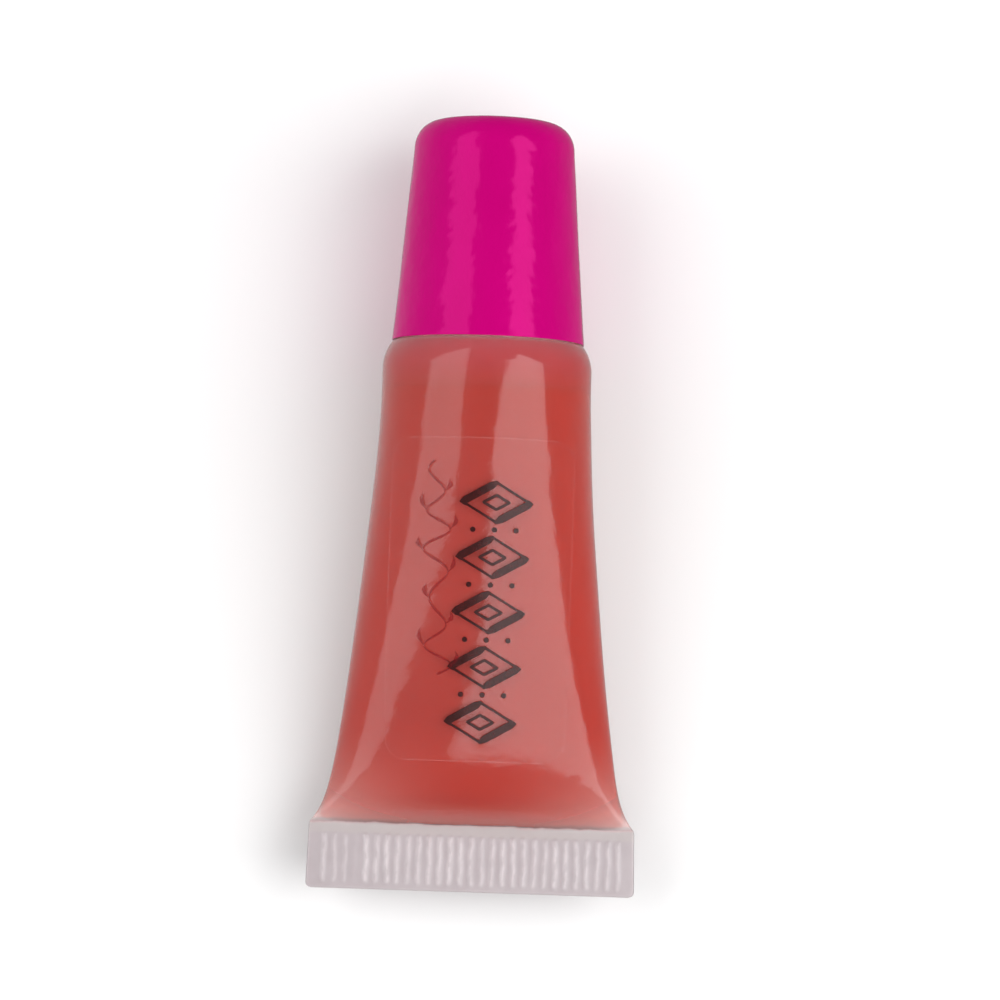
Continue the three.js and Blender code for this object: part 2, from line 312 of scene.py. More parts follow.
def across_share(t, z):
    """Where round the section a point lies across it, -1 to 1: even on the flat tail."""
    even = np.where(t < np.pi, 1 - 2 * t / np.pi, -3 + 2 * t / np.pi)
    flat = 0.8 * np.exp(-np.maximum(0, z - CRIMP_Z) / 3)
    return np.cos(t) * (1 - flat) + even * flat


RIPPLES = [
    (rng.integers(1, 5), rng.uniform(0.12, 0.42), rng.uniform(0, TURN), rng.uniform(0.4, 1))
    for _ in range(9)
]


def ripple(z, t):
    """How far the soft wall stands in or out of its plain form."""
    total = sum(w * np.sin(k * t + f * z + phase) for k, f, phase, w in RIPPLES)
    fade = np.clip((z - CRIMP_Z - 1) / 6, 0, 1) * np.clip((ROUND_Z + 2.5 - z) / 6, 0, 1)
    return RIPPLE * total * fade * fade * (3 - 2 * fade)


def table_back(z):
    """How far back of the axis the table is at height z."""
    return (FOOT[2] / MM + z * ALONG[2]) / -BACK[2]


def sleeve_points(z, t, inset=0.0):
    """Points of the sleeve at height z, t round from +x, inset from the outer surface."""
    z, t = np.broadcast_arrays(np.asarray(z, float), np.asarray(t, float))
    a, b = half_width(z), half_depth(z)
    x_share = across_share(t % TURN, z)
    width = offset_half_width(a, b, inset) if inset > 0 else a - inset
    depth = b - inset
    core = np.clip(CRIMP_HALF * np.exp((CRIMP_Z - z) / PINCH_LENGTH) - max(inset, 0), 0, depth)
    lens = np.maximum(0, 1 - x_share ** 2) ** (
        (1 + PINCH * np.exp((CRIMP_Z - z) / PINCH_LENGTH)) / 2)
    block = np.maximum(0, 1 - np.abs(x_share) ** 24) ** (1 / 24)
    side = np.sign(np.pi - t % TURN)
    moved = ripple(z, t)
    x = width * x_share + moved * np.cos(t)
    y = side * (core * block + (depth - core) * lens) + moved * np.sin(t)
    return np.stack([x, np.minimum(y, table_back(z) - inset), z], -1)


def climb(low, high, steps, power=1.6):
    """Heights from low to high, closest together at the low end."""
    return low + (high - low) * (np.arange(steps + 1) / steps) ** power


RIB_SWELL = rng.uniform(0.72, 1.2, RIBS)
RIB_SWELL[1:4] = (0.5, 0.45, 0.12)  # ribs that hardly took
RIB_SWAY = rng.uniform(0, TURN, RIBS)


def rib_relief(x, z):
    """Height of the pressed ribs above the flat of the tail."""
    place = x / RIB_PITCH + (RIBS - 1) / 2
    number = np.clip(np.round(place).astype(int), 0, RIBS - 1)
    phase = RIB_SWAY[number]
    sway = 0.05 * (np.sin(1.3 * z + phase) + np.sin(3.4 * z + 2 * phase))
    crest = (0.5 + 0.5 * np.cos(TURN * (place - number + sway))) ** 2.5
    inside = np.clip((RIBS / 2 - np.abs(place - (RIBS - 1) / 2)) * 4, 0, 1)
    ends = np.clip((z - RIB_Z[0]) / 0.4, 0, 1) * np.clip((RIB_Z[1] - z) / 0.5, 0, 1)
    return RIB_HEIGHT * crest * inside * np.sqrt(ends) * RIB_SWELL[number]


def band_rings():
    """Rings of the flat tail from its cut end up to the seal's top."""
    heights = [0, 0, 0.06, 0.16, 0.32, 0.5, 0.7, 0.76, 0.84, 0.96, 1.1, 1.5, 2, 2.5, 3, 3.5,
               4, 4.3, 4.5, 4.64, 4.76, 4.86, 4.94, 5, 5.3, 5.65]
    t = around()
    rows = []
    for i, z in enumerate(heights):
        level = np.full_like(t, z)
        share = across_share(t, level)
        width = BAND_END_X + (BAND_TOP_X - BAND_END_X) * z / CRIMP_Z
        drop = max(0, BAND_CORNER - z)
        width -= BAND_CORNER - np.sqrt(BAND_CORNER ** 2 - drop ** 2)
        half = (0, CRIMP_HALF - 0.07, CRIMP_HALF - 0.02)[i] if i < 3 else CRIMP_HALF
        x = width * share
        y = half * np.maximum(0, 1 - np.abs(share) ** 24) ** (1 / 24)
        y = (y + rib_relief(x, level)) * np.sign(np.pi - t)
        rows.append(np.stack([x, y, level], -1))
    return rows


def shoulder_rings(radius, angles):
    """Rings of the shoulder's arc, at angles up from its widest."""
    t = around()
    rows = []
    for angle in angles:
        r = SHOULDER_ARC_R + radius * np.cos(angle)
        z = SHOULDER_Z + radius * np.sin(angle)
        rows.append(np.stack([r * np.cos(t), r * np.sin(t), np.full_like(t, z)], -1))
    return rows


# ---- pieces ----

def build_sleeve():
    """One wall from the cut end of the tail up to the shoulder's rim and back down inside."""
    t = around()
    outer = [sleeve_points(z, t) for z in climb(CRIMP_Z, ROUND_Z, 66)]
    inner = [sleeve_points(z, t, WALL) for z in climb(CRIMP_Z + 0.5, ROUND_Z, 34)[::-1]]
    rim = np.linspace(0, SHOULDER_END, 13)
    closed = inner[-1] * (1, 0, 1)
    rings = [
        *band_rings(), *outer,
        *shoulder_rings(SHOULDER_CORNER, rim[1:-1]),
        *shoulder_rings(SHOULDER_CORNER - 0.06, [SHOULDER_END + 0.008]),
        *shoulder_rings(SHOULDER_CORNER - WALL + 0.06, [SHOULDER_END + 0.008]),
        *shoulder_rings(SHOULDER_CORNER - WALL, rim[1:-1][::-1]),
        *inner, closed,
    ]
    points, faces = skin(rings)
    rib = rib_relief(points[:, 0], points[:, 2]) / RIB_HEIGHT
    rib *= points[:, 2] < RIB_Z[1]
    return add_mesh("sleeve_clear", [(points, faces)], {"rib": rib})


def build_gloss():
    """The gloss fills the sleeve, then the head and its neck."""
    t = around(240)
    low, high = CRIMP_Z + 0.12, HEAD_BOTTOM_Z + 0.2
    rows = [sleeve_points(z, t, WALL - WETTED) for z in climb(low, high, 60)]
    inside_r, neck_r = HEAD_INSIDE_R - 0.1, NECK_BORE_R - 0.1
    for r, z in [(inside_r, high), (inside_r, 47.3), (7.3, 48.1), (neck_r, 48.1),
                 (neck_r, GLOSS_TOP_Z), (0, GLOSS_TOP_Z)]:
        rows.append(np.stack([r * np.cos(t), r * np.sin(t), np.full_like(t, z)], -1))
    return add_mesh("gloss_coral", [skin([rows[0] * (1, 0, 1), *rows])])


def build_head():
    """Skirt, shoulder, threaded neck and nozzle in one turned piece."""
    corner = np.linspace(0, np.arccos(0.78), 12)
    welded = HEAD_R + WELD - SHOULDER_ARC_R
    arc = [
        (SHOULDER_ARC_R + welded * np.cos(a), SHOULDER_Z + welded * np.sin(a), 0)
        for a in corner
    ]
    profile = rounded([
        (HEAD_R + WELD, HEAD_BOTTOM_Z, 0.1), *arc,
        (8.1, 49.5, 0.05), (8.1, 49.8, 0.1), (5.6, 49.9, 0.3), (5.1, 50.15, 0.3),
        (NECK_R, 50.7, 0.3), (NECK_R, 58.2, 0.15), (4.5, 58.6, 0.12), (4.2, 58.6, 0.15),
        (2.7, NOZZLE_Z - 0.25, 0.15), (2.45, NOZZLE_Z, 0.15),
        (ORIFICE_R, NOZZLE_Z, 0.12), (ORIFICE_R, 59.6, 0.1), (3.2, 58, 0.3),
        (NECK_BORE_R, 57.4, 0.3), (NECK_BORE_R, 48.6, 0.2), (4.3, 48.2, 0.2),
        (7.4, 48.2, 0.3), (HEAD_INSIDE_R, 47.4, 0.3), (HEAD_INSIDE_R, HEAD_BOTTOM_Z, 0.1),
    ])
    ridge = thread_ridge(NECK_R - 0.15, THREAD_CREST_R, THREAD_Z, 0, 2.05)
    return add_mesh("head_threaded", [turned(spread(profile, 0.6)), ridge])


def cap_wave(z, t, r):
    """The faint sink and ripple of the moulded cap, on its outside only."""
    outside = np.clip((r - 7.3 + (z - CAP_RIM_Z) * 0.07) / 0.3, 0, 1)
    fade = np.clip((z - CAP_RIM_Z - 0.4) / 2, 0, 1)
    wave = np.sin(2 * t + 0.3 * z + 1) + 0.7 * np.sin(3 * t - 0.55 * z) - 1.2
    return CAP_WAVE * wave * outside * fade


def shell_inside(z):
    """Inner radius of the cap's shell at height z."""
    return CAP_RIM_R - CAP_WALL - (z - CAP_RIM_Z) * CAP_INSIDE_TAPER


def build_cap_shell():
    """The tapered outside, with a full round corner at its top and a lip at its rim."""
    corner = np.linspace(0, np.pi / 2, 26)
    arc = [
        (CAP_TOP_FLAT_R + CAP_CORNER * np.cos(a) ** 0.86,
         CAP_TOP_Z - CAP_CORNER + CAP_CORNER * np.sin(a) ** 0.86, 0)
        for a in corner
    ]
    profile = rounded([
        (0, CAP_ROOF_Z, 0), (5.2, CAP_ROOF_Z, 0.5), (5.9, CAP_ROOF_Z - 0.5, 0.5),
        (shell_inside(66), 66, 0.4),
        (shell_inside(50.2), 50.2, 0.08), (shell_inside(50) + 0.12, CAP_RIM_Z + 0.02, 0.05),
        (CAP_LIP_R, CAP_RIM_Z + 0.02, 0.05), (CAP_RIM_R - 0.03, CAP_RIM_Z - 0.16, 0.04),
        (CAP_RIM_R, CAP_RIM_Z - 0.1, 0.03),
        *arc, (0, CAP_TOP_Z, 0),
    ])
    return add_mesh("cap_magenta", [turned(spread(profile, 0.7), wave=cap_wave)])


def core_rib(angle):
    """One rib that holds the threaded core in the cap, square with eased edges."""
    rows = []
    for z, inner, gap, half in [
        (51.2, 6.2, 0.16, 0.35), (51.3, 6.2, 0.14, 0.4), (61.7, 6.1, 0.12, 0.4), (61.8, 6.1, 0.2, 0.35),
    ]:
        outer = shell_inside(z) - gap
        rows.append(np.array([
            (inner, -half, z), (outer - 0.1, -half, z), (outer, -half + 0.1, z),
            (outer, half - 0.1, z), (outer - 0.1, half, z), (inner, half, z),
        ]))
    shut = [row.mean(0, keepdims=True).repeat(6, 0) for row in (rows[0], rows[-1])]
    rows = np.array([shut[0], *rows, shut[1]])
    c, s = np.cos(angle), np.sin(angle)
    return skin(rows @ np.array([[c, s, 0], [-s, c, 0], [0, 0, 1]]))


def build_cap_core():
    """The threaded sleeve inside the cap, flanged at its mouth and ribbed outside."""
    profile = rounded([
        (CORE_BORE_R, CORE_ROOF_Z, 0.2), (CORE_BORE_R, CORE_BOTTOM_Z, 0.15),
        (CORE_FLANGE_R, CORE_BOTTOM_Z, 0.08), (CORE_FLANGE_R, CORE_BOTTOM_Z + 1, 0.1),
        (6.8, CORE_BOTTOM_Z + 1, 0.2), (6.35, CORE_TOP_Z - 0.2, 0.1), (6.15, CORE_TOP_Z, 0.1),
        (0, CORE_TOP_Z, 0), (0, CORE_ROOF_Z, 0),
    ])
    ridge = thread_ridge(CORE_BORE_R + 0.15, CORE_CREST_R, THREAD_Z - LEAD / 2, 0.8, 2.5)
    ribs = [core_rib((i + 0.5) / CORE_RIBS * TURN) for i in range(CORE_RIBS)]
    return add_mesh("cap_core_threaded", [turned(spread(profile, 0.6)), ridge, *ribs])


def build_liner():
    """The sealing disc, dented by the nozzle."""
    low, high = LINER_Z
    profile = spread(rounded([
        (0, low, 0), (LINER_R, low, 0.15), (LINER_R, high, 0.15), (0, high, 0),
    ]), 0.25)
    r, z = profile.T
    profile[(z < low + 0.22) & (r > 1.2) & (r < 2.7), 1] += 0.05
    return add_mesh("liner_disc", [turned(profile, 128)])


def face_and_way_out(z, t):
    """Points of the sleeve's face, and the unit way out of it at each."""
    face = sleeve_points(z, t)
    out = face - sleeve_points(z, t, 0.1)
    return face, out / np.linalg.norm(out, axis=-1, keepdims=True)


def label_half(z):
    """Half the label's width at height z, less in its rounded corners."""
    near = np.maximum(0, np.maximum(LABEL_CORNER - (z - LABEL_Z[0]), LABEL_CORNER - (LABEL_Z[1] - z)))
    return LABEL_HALF_X - LABEL_CORNER + np.sqrt(np.maximum(0, LABEL_CORNER ** 2 - near ** 2))


def build_label():
    """A clear film, its edges eased down into the sleeve."""
    low, high = LABEL_Z
    ends = LABEL_CORNER * (1 - np.cos(np.linspace(0, np.pi / 2, 13)))
    z = np.concatenate([low + ends, np.linspace(low, high, 70)[6:-6], high - ends[::-1]])
    share = np.sin(np.linspace(-1, 1, 91) * np.pi / 2)
    half = np.arcsin(label_half(z) / half_width(z))[:, None]
    t = 1.5 * np.pi + half * share
    x = np.abs(label_half(z)[:, None] * share)
    to_edge = np.minimum(label_half(z)[:, None] - x, np.minimum(z - low, high - z)[:, None])
    grid, out = face_and_way_out(z[:, None], t)
    lift = LABEL_TOP * np.clip(to_edge / 0.1, 0, 1)[..., None] ** 0.5 - LABEL_ROOT
    top, under = grid + out * lift, grid - out * LABEL_ROOT
    layers = {"to_edge": np.concatenate([to_edge.ravel(), to_edge.ravel()])}
    return add_mesh("label_film_clear", [
        skin(top, ring=False), skin(under[:, ::-1], ring=False),
    ], layers, sharp_deg=80)


def on_label(s, z, level):
    """A point of the print, s to the side of the front's middle line, level 0 or 1 in the ink."""
    grid, out = face_and_way_out(z, 1.5 * np.pi + np.arcsin(s / half_width(z)))
    return grid + out * (LABEL_TOP + INK_LIFT + INK * (level - 0.5))


def stroke(path, widths, closed=False):
    """A printed line along (s, z) points, as a thin raised strip."""
    path = np.asarray(path, float)
    if closed:
        way = np.roll(path, -1, 0) - np.roll(path, 1, 0)
    else:
        way = np.gradient(path, axis=0)
    way /= np.linalg.norm(way, axis=1, keepdims=True)
    normal = np.stack([-way[:, 1], way[:, 0]], 1)
    half = np.broadcast_to(np.asarray(widths, float) / 2, len(path))[:, None]
    rows = []
    for side, level in [(-1, 0), (-1, 1), (-0.3, 1), (0.3, 1), (1, 1), (1, 0)]:
        s, z = (path + normal * half * side).T
        rows.append(on_label(s, z, level))
    rows = np.stack(rows, 1)
    if closed:
        return skin(rows, joined=True)
    shut = [row.mean(0, keepdims=True).repeat(6, 0) for row in (rows[0], rows[-1])]
    return skin(np.array([shut[0], *rows, shut[1]]))


def corners_path(corners, steps):
    """Points along straight sides between corners, closed."""
    corners = np.asarray(corners, float)
    return np.concatenate([
        a + (b - a) * np.linspace(0, 1, steps, endpoint=False)[:, None]
        for a, b in zip(corners, np.roll(corners, -1, 0))
    ])


def lozenge(s, z, half, thick, thin):
    """A lozenge outline, thick on two opposite sides and thin on the others."""
    steps = 14
    path = corners_path(
        [(s - half[0], z), (s, z + half[1]), (s + half[0], z), (s, z - half[1])], steps)
    widths = np.repeat([thick, thin, thick, thin], steps)
    return stroke(path, (widths + np.roll(widths, 1) + np.roll(widths, -1)) / 3, closed=True)


def dot(s, z):
    """A round printed dot."""
    t = around(24)
    return skin([
        on_label(s + r * np.cos(t), z + r * np.sin(t), level)
        for r, level in [(0, 0), (DOT_R, 0), (DOT_R, 1), (0, 1)]
    ])


def build_print():
    """The label's plain ornament: lozenges with dots between, in charcoal."""
    skins = []
    low, high = PRINT_Z
    pitch = (high - low) / LOZENGES
    for i in range(LOZENGES):
        z = low + pitch * (i + 0.5)
        s = 0.35 + (z - low) / (high - low)
        skins.append(lozenge(s, z, LOZENGE_HALF, THICK_LINE, THIN_LINE))
        skins.append(lozenge(s, z, INNER_HALF, INNER_LINE, INNER_LINE))
        if i:
            skins += [dot(s - 0.1 + aside, z - pitch / 2) for aside in (-1.9, 0, 1.9)]
    return add_mesh("print_charcoal", skins)


def build_flourish():
    """A faint second ornament beside the first: one hand-drawn waving line with leaves."""
    z = np.linspace(*FLOURISH_Z, 240)
    waves = (z - FLOURISH_Z[0]) / FLOURISH_WAVE
    phase = TURN * (waves + 0.1 * np.sin(1.7 * waves))
    swing = 0.95 + 0.3 * np.sin(2.3 * waves + 1)
    s = -3.5 - 0.12 * waves + swing * np.sin(phase)
    skins = [stroke(np.stack([s, z], 1), 0.11 + 0.1 * np.cos(phase) ** 2)]
    way = np.linspace(0, 1, 14)[:, None]
    for k in range(9):
        side = 1 if k % 2 == 0 else -1
        crest = TURN * (0.25 + k / 2)
        root = np.array([np.interp(crest, phase, s), np.interp(crest, phase, z)])
        bow = side * (0.35 * way + 0.3 * np.sin(way * np.pi))
        leaf = root + np.hstack([bow, (1.25 + 0.3 * np.sin(2.1 * k)) * way])
        skins.append(stroke(leaf, 0.06 + 0.3 * np.sin(way[:, 0] * np.pi) ** 2))
    return add_mesh("print_flourish", skins)


# ---- materials ----

class Graph:
    """A material's nodes. Inputs are given by name, _ for a space, or by place, as i0 and i1."""

    def __init__(self, name):
        self.material = bpy.data.materials.new(name)
        self.material.use_nodes = True
        self.tree = self.material.node_tree
        self.tree.nodes.clear()

    def node(self, kind, settings=None, **inputs):
        made = self.tree.nodes.new("ShaderNode" + kind)
        for key, value in (settings or {}).items():
            setattr(made, key, value)
        for key, value in inputs.items():
            socket = made.inputs[int(key[1:]) if key[1:].isdigit() else key.replace("_", " ")]
            if isinstance(value, bpy.types.NodeSocket):
                self.tree.links.new(value, socket)
            else:
                socket.default_value = value
        return made

    def place(self):
        """The place on the standing tube, in millimetres."""
        return self.node("Attribute", {"attribute_name": "stand"}).outputs["Vector"]

    def height(self):
        return self.node("SeparateXYZ", Vector=self.place()).outputs["Z"]

    def across(self):
        return self.node("SeparateXYZ", Vector=self.place()).outputs["X"]

    def stretched(self, x, y, z):
        """The standing place, with each way scaled."""
        return self.node("Mapping", Vector=self.place(), Scale=(x, y, z)).outputs["Vector"]

    def noise(self, scale, detail=2.0, place=None):
        made = self.node("TexNoise", Vector=place or self.place(), Scale=scale, Detail=detail)
        return made.outputs["Fac"]

    def math(self, operation, a, b=0.0, c=0.0):
        made = self.node("Math", {"operation": operation}, i0=a, i1=b, i2=c)
        return made.outputs[0]

    def ramp(self, value, low, high, start=0.0, end=1.0, smooth=True):
        made = self.node(
            "MapRange", {"interpolation_type": "SMOOTHSTEP" if smooth else "LINEAR"},
            Value=value, From_Min=low, From_Max=high, To_Min=start, To_Max=end)
        return made.outputs[0]

    def mix(self, share, a, b):
        """Colour a turning into colour b, each a plain colour or a node's output."""
        a, b = (c if isinstance(c, bpy.types.NodeSocket) else (*c, 1) for c in (a, b))
        return self.node("MixRGB", i0=share, i1=a, i2=b).outputs[0]

    def bump(self, height, distance, strength=1.0):
        made = self.node("Bump", Height=height, Distance=distance, Strength=strength)
        return made.outputs["Normal"]

    def finish(self, surface):
        output = self.tree.nodes.new("ShaderNodeOutputMaterial")
        self.tree.links.new(surface, output.inputs["Surface"])
        return self.material


def sleeve_material():
    """Cloudy soft plastic: clear over the gloss, milky where the walls are sealed together."""
    g = Graph("cloudy_plastic")
    grain = g.bump(g.noise(0.4, 3.0), 0.00012, 0.5)
    clear = g.node(
        "BsdfPrincipled", Base_Color=(0.98, 0.96, 0.96, 1), Transmission_Weight=1.0,
        Roughness=0.12, IOR=1.45, Normal=grain)
    wander = g.math("MULTIPLY", g.math("SUBTRACT", g.noise(0.5, 3.0), 0.5), 0.5)
    level = g.math("SUBTRACT", g.math("ADD", g.height(), wander), CRIMP_Z)
    sealed = g.node(
        "BsdfPrincipled", Base_Color=milk(g, level), Roughness=0.3, IOR=1.48, Normal=grain,
        Subsurface_Weight=0.35, Subsurface_Scale=0.0008, Subsurface_Radius=(1.0, 0.9, 0.9))
    milky = haze(g, level)
    body = g.node("MixShader", i0=milky, i1=clear.outputs[0], i2=sealed.outputs[0])
    lets = g.node("BsdfTransparent", Color=(0.93, 0.9, 0.9, 1))
    shadow = g.node("LightPath").outputs["Is Shadow Ray"]
    share = g.math("MULTIPLY", shadow, g.math("SUBTRACT", 1.0, milky))
    return g.finish(
        g.node("MixShader", i0=share, i1=body.outputs[0], i2=lets.outputs[0]).outputs[0])


def to_seal(g, top):
    """1 at the seal, falling evenly to 0 at the height top."""
    return g.ramp(g.height(), CRIMP_Z, top, 1.0, 0.0, smooth=False)


def haze(g, level):
    """How milky the wall is: wholly where sealed, a little by the seal and shoulder, and at the edges
    partly for the longer path through the wall and partly as a painted reflection of the pale surround.
    """
    x = g.across()
    seal = g.ramp(level, -0.1, 0.2, 1.0, 0.0)
    near = g.math("POWER", to_seal(g, 9.5), 3.0)
    corners = g.math("POWER", to_seal(g, 16.0), 2.0)
    corners = g.math("MULTIPLY", corners, g.math("MULTIPLY", x, x))
    fog = g.math("MULTIPLY_ADD", corners, 0.003, g.math("MULTIPLY", near, 0.2))
    shoulder = g.math("POWER", g.ramp(g.height(), 46.0, 50.0, smooth=False), 3.0)
    shoulder = g.math("MULTIPLY_ADD", shoulder, 0.14, 0.012)
    # Milkier where seen edge-on: partly the longer path through the wall, partly a painted reflection
    # of the pale surround.
    facing = g.node("LayerWeight", Blend=0.5).outputs["Facing"]
    edge = g.math("MULTIPLY", g.math("POWER", facing, 5.0), 0.5)
    milky = g.math("MAXIMUM", seal, g.math("ADD", fog, shoulder))
    return g.math("MINIMUM", g.math("ADD", milky, edge), 1.0)


def milk(g, level):
    """The sealed plastic's colour: rib crests painted paler as a painted highlight, greyer between, and
    a line of painted shade in the crease at the seal.
    """
    rib = g.node("Attribute", {"attribute_name": "rib"}).outputs["Fac"]
    flat = g.mix(g.noise(0.6, 4.0), (0.42, 0.365, 0.38), (0.49, 0.435, 0.45))
    # Painted highlight: the rib crests are painted paler, in uneven patches along them.
    crest_highlight_patches = g.ramp(g.noise(1.6, 4.0, g.stretched(1, 1, 0.6)), 0.35, 0.6, 0.25, 1.0)
    ribbed = g.mix(g.math("MULTIPLY", rib, crest_highlight_patches), flat, (0.57, 0.51, 0.525))
    plain = g.mix(g.ramp(level, -1.1, -0.8, 0.0, 0.4), ribbed, (0.5, 0.455, 0.43))
    above = g.mix(g.ramp(level, 0.1, 0.5), plain, (0.72, 0.46, 0.44))
    # Painted shade in the crease at the seal's top, darkest on its line.
    from_line = g.math("ABSOLUTE", level)
    return g.mix(g.ramp(from_line, 0.0, 0.22, 0.55, 0.0), above, (0.55, 0.34, 0.345))


def coral(g):
    """The gloss's colour: deepest seen square on, painted lighter where it turns away and towards the
    tail as painted light that evens out its shading, paler where it lies thin.
    """
    cloud = g.noise(0.12, 3.0, g.stretched(1.4, 1.4, 0.6))
    facing = g.node("LayerWeight", Blend=0.5).outputs["Facing"]
    # Painted light: lighter towards the sides, which face away from the lamps, and down by the tail.
    painted_light_share = g.math("MAXIMUM", g.ramp(facing, 0.0, 0.18), g.ramp(g.height(), 8.0, 18.0, 0.5, 0.0))
    deep = g.mix(cloud, (0.3, 0.028, 0.019), (0.335, 0.034, 0.024))
    pale = g.mix(cloud, (0.37, 0.032, 0.02), (0.41, 0.038, 0.025))
    corner = g.math("POWER", g.math("MULTIPLY", g.across(), to_seal(g, 16.0)), 2.0)
    by_seal = g.ramp(g.height(), CRIMP_Z, 8.4, 0.9, 0.0)
    thin = g.math("MULTIPLY_ADD", corner, 0.006, by_seal)
    return g.mix(thin, g.mix(painted_light_share, deep, pale), (0.55, 0.085, 0.055))


def gloss_material():
    """Thick gloss, a little uneven, wetting the wall so that it has no shine of its own."""
    g = Graph("coral_gloss")
    made = g.node(
        "BsdfPrincipled", Base_Color=coral(g), Roughness=0.5, Specular_IOR_Level=0.0,
        Subsurface_Weight=0.5, Subsurface_Scale=0.002, Subsurface_Radius=(1.0, 0.35, 0.25))
    return g.finish(made.outputs[0])


def head_material():
    """Natural plastic, tinted by the gloss behind it where it is inside the sleeve."""
    g = Graph("natural_plastic")
    z = g.height()
    # coral(g) brings its painted light on the sides with it.
    wet = g.mix(g.ramp(z, 45.2, 49.5, 0.0, 0.8, smooth=False), coral(g), (0.37, 0.044, 0.066))
    dry = g.mix(g.noise(0.5, 3.0), (0.66, 0.56, 0.55), (0.74, 0.65, 0.63))
    made = g.node(
        "BsdfPrincipled", Base_Color=g.mix(g.ramp(z, 49.2, 50.4), wet, dry), Roughness=0.4,
        Specular_IOR_Level=0.06, Normal=g.bump(g.noise(2.5, 2.0), 0.00001),
        Subsurface_Weight=0.5, Subsurface_Scale=0.002, Subsurface_Radius=(1.0, 0.35, 0.25))
    return g.finish(made.outputs[0])


def cap_material():
    """Glossy moulded magenta plastic with a faint mottle and a few handling marks."""
    g = Graph("magenta_plastic")
    mottle = g.noise(0.22, 4.0, g.stretched(1, 1, 0.6))
    scuffs = g.ramp(g.noise(3.0, 5.0, g.stretched(1, 1, 0.25)), 0.55, 0.8, 0.0, 0.1)
    made = g.node(
        "BsdfPrincipled", Base_Color=g.mix(mottle, (0.47, 0.0, 0.14), (0.56, 0.0, 0.18)),
        Roughness=g.math("ADD", scuffs, 0.13), Metallic=0.07, IOR=1.49, Specular_IOR_Level=0.12,
        Specular_Tint=(1.0, 0.45, 1.0, 1), Normal=g.bump(g.noise(0.4, 2.0), 0.00013))
    return g.finish(made.outputs[0])


def core_material():
    """The cap's inner plastic, a little duller and finely grained."""
    g = Graph("magenta_inner_plastic")
    made = g.node(
        "BsdfPrincipled", Base_Color=g.mix(g.noise(0.4, 3.0), (0.5, 0.002, 0.16), (0.58, 0.004, 0.2)),
        Roughness=0.3, Specular_IOR_Level=0.4, Normal=g.bump(g.noise(3.0, 3.0), 0.00001))
    return g.finish(made.outputs[0])


def liner_material():
    """Pale foam with fine cells."""
    g = Graph("foam_liner")
    cells = g.node("TexVoronoi", Vector=g.place(), Scale=4.0).outputs["Distance"]
    made = g.node(
        "BsdfPrincipled", Base_Color=g.mix(cells, (0.8, 0.78, 0.75), (0.88, 0.87, 0.85)),
        Roughness=0.75, Normal=g.bump(cells, 0.00004))
    return g.finish(made.outputs[0])


def label_material():
    """Clear film that shows only by its shine and a paler cut edge."""
    g = Graph("clear_film")
    to_edge = g.node("Attribute", {"attribute_name": "to_edge"}).outputs["Fac"]
    speckle = g.math("MULTIPLY", g.noise(1.5, 4.0), 0.003)
    alpha = g.math("ADD", g.ramp(to_edge, 0.03, 0.14, 0.04, 0.001), speckle)
    made = g.node(
        "BsdfPrincipled", Base_Color=(0.86, 0.72, 0.72, 1), Roughness=0.12, Alpha=alpha)
    return g.finish(made.outputs[0])


def ink_material(name, dark, light, opacity):
    """Printed ink, a little worn and uneven."""
    g = Graph(name)
    wear = g.noise(2.2, 5.0)
    made = g.node(
        "BsdfPrincipled", Base_Color=g.mix(g.ramp(wear, 0.35, 0.7), dark, light),
        Alpha=g.ramp(wear, 0.25, 0.45, opacity * 0.75, opacity),
        Roughness=0.25, Specular_IOR_Level=0.26)
    return g.finish(made.outputs[0])


# ---- assembly ----

def take_place(piece, node, body, material):
    """The piece stands for a CAD node, rides with its body and wears a material."""
    piece.data.materials.append(material)
    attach(piece, body)
    if node:
        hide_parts(node)


take_place(build_sleeve(), "tube_sleeve", "tube", sleeve_material())
take_place(build_gloss(), "gloss_fill", "tube", gloss_material())
take_place(build_head(), "tube_head", "tube", head_material())
take_place(build_label(), "label_film", "tube", label_material())
take_place(build_cap_shell(), "cap_shell", "cap", cap_material())
take_place(build_cap_core(), "cap_core", "cap", core_material())
take_place(build_liner(), "cap_liner", "liner", liner_material())

charcoal = ink_material("charcoal_ink", (0.03, 0.001, 0.001), (0.05, 0.004, 0.004), 0.97)
dark_red = ink_material("dark_red_ink", (0.24, 0.002, 0.008), (0.3, 0.005, 0.012), 0.34)
take_place(build_print(), None, "tube", charcoal)
take_place(build_flourish(), None, "tube", dark_red)


# ---- floor, light and camera ----

def build_floor():
    """A plain pale floor under the tube."""
    mesh = bpy.data.meshes.new("floor")
    bm = bmesh.new()
    bmesh.ops.create_grid(bm, x_segments=1, y_segments=1, size=FLOOR_HALF)
    bm.to_mesh(mesh)
    bm.free()
    floor = bpy.data.objects.new("floor", mesh)
    floor.location.z = -0.00002
    floor.visible_glossy = False  # so that it doesn't veil the glossy sides
    g = Graph("pale_floor")
    made = g.node(
        "BsdfPrincipled", Base_Color=(0.9, 0.9, 0.9, 1), Roughness=0.9, Specular_IOR_Level=0.1)
    mesh.materials.append(g.finish(made.outputs[0]))
    bpy.context.scene.collection.objects.link(floor)


def add_panel(name, corners, radiance):
    """A level light panel with the given corners, facing down."""
    mesh = bpy.data.meshes.new(name)
    mesh.from_pydata([(x, y, PANEL_Z) for x, y in corners], [], [list(range(len(corners)))])
    g = Graph(name)
    mesh.materials.append(g.finish(g.node("Emission", Strength=radiance).outputs[0]))
    panel = bpy.data.objects.new(name, mesh)
    panel.visible_camera = False
    bpy.context.scene.collection.objects.link(panel)


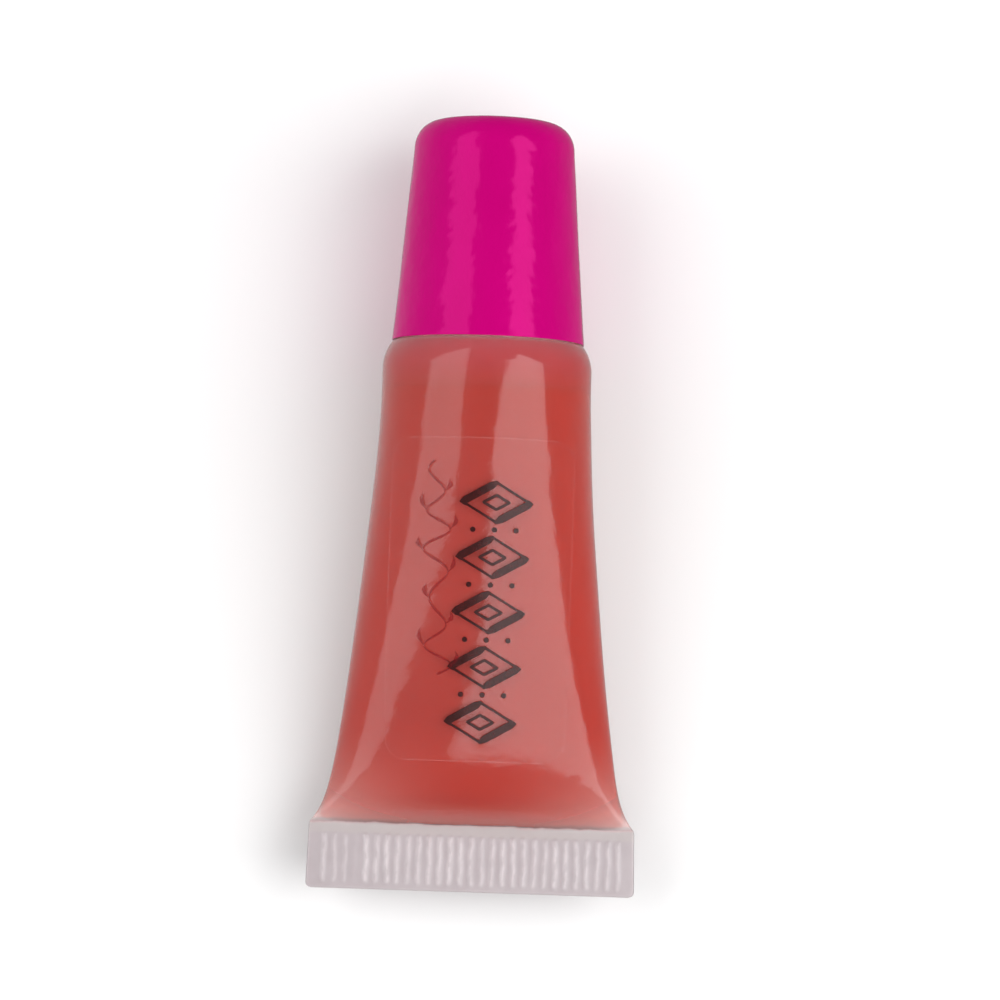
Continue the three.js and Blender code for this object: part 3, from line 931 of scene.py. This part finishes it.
def build_world(right, left, seen):
    """A pale surround, brighter towards the left, that is itself seen with another radiance."""
    world = bpy.data.worlds.new("studio")
    world.use_nodes = True
    tree = world.node_tree
    background = tree.nodes["Background"]
    background.inputs["Color"].default_value = (1, 0.985, 0.985, 1)
    direction = tree.nodes.new("ShaderNodeTexCoord")
    parts = tree.nodes.new("ShaderNodeSeparateXYZ")
    tree.links.new(direction.outputs["Generated"], parts.inputs["Vector"])
    lighting = tree.nodes.new("ShaderNodeMapRange")
    tree.links.new(parts.outputs["X"], lighting.inputs["Value"])
    for key, value in [("From Min", 0), ("From Max", -1), ("To Min", right), ("To Max", left)]:
        lighting.inputs[key].default_value = value
    path = tree.nodes.new("ShaderNodeLightPath")
    strength = tree.nodes.new("ShaderNodeMapRange")
    strength.inputs["To Max"].default_value = seen
    tree.links.new(lighting.outputs[0], strength.inputs["To Min"])
    tree.links.new(path.outputs["Is Camera Ray"], strength.inputs["Value"])
    tree.links.new(strength.outputs[0], background.inputs["Strength"])
    bpy.context.scene.world = world


def build_camera():
    """Looks down on the lying tube, a little from its tail's side."""
    data = bpy.data.cameras.new("camera")
    data.lens = data.sensor_width * CAMERA_FAR / FRAME_WIDTH
    data.clip_start, data.clip_end = 0.01, 10
    camera = bpy.data.objects.new("camera", data)
    up = np.radians(CAMERA_UP_DEG)
    back = Vector((0, -np.cos(up), np.sin(up)))
    turn = (-back).to_track_quat("-Z", "Y") @ Quaternion((0, 0, 1), np.radians(CAMERA_ROLL_DEG))
    middle = Vector(laid([0, 0, AIM_Z])) + turn @ Vector((*AIM_SHIFT, 0))
    camera.location = middle + back * CAMERA_FAR
    camera.rotation_mode = "QUATERNION"
    camera.rotation_quaternion = turn
    bpy.context.scene.collection.objects.link(camera)
    bpy.context.scene.camera = camera


build_floor()
add_panel("panel_left", LEFT_PANEL, 2.6)
add_panel("panel_right", RIGHT_PANEL, 3.6)
build_world(0.35, 0.75, 0.95)
build_camera()
bpy.context.scene.view_settings.view_transform = "Standard"
